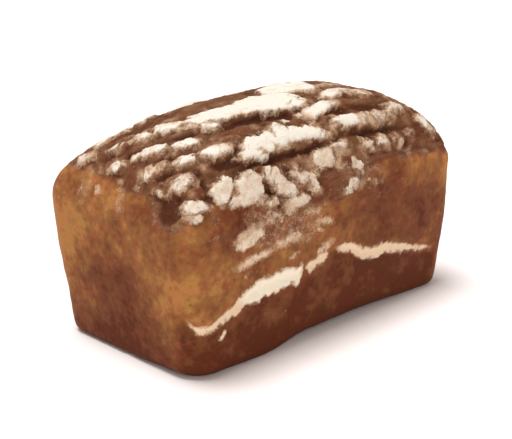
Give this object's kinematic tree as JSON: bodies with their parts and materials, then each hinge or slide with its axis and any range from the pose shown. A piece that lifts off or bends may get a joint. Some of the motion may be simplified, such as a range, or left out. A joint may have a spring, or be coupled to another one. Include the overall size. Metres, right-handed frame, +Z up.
{
  "type": "rye loaf",
  "caption": "Whole tin-baked rye loaf with flared walls, rounded edges, a domed floured crust torn into plates, and a floured fold along one long wall.",
  "frame": {"origin": "middle of the flat base's bounding box, on the surface the loaf stands on", "axes": "+Z up, X along the loaf's length, Y across it; the wall with the fold faces -Y"},
  "size_m": [0.1994, 0.1058, 0.1149],
  "materials": {
    "rye_crust": "browned rye crust, tan to dark brown, dusted with white flour on the crown's plates and in the fold"
  },
  "bodies": {
    "root": {"rye_loaf": "rye_crust"}
  },
  "joints": []
}
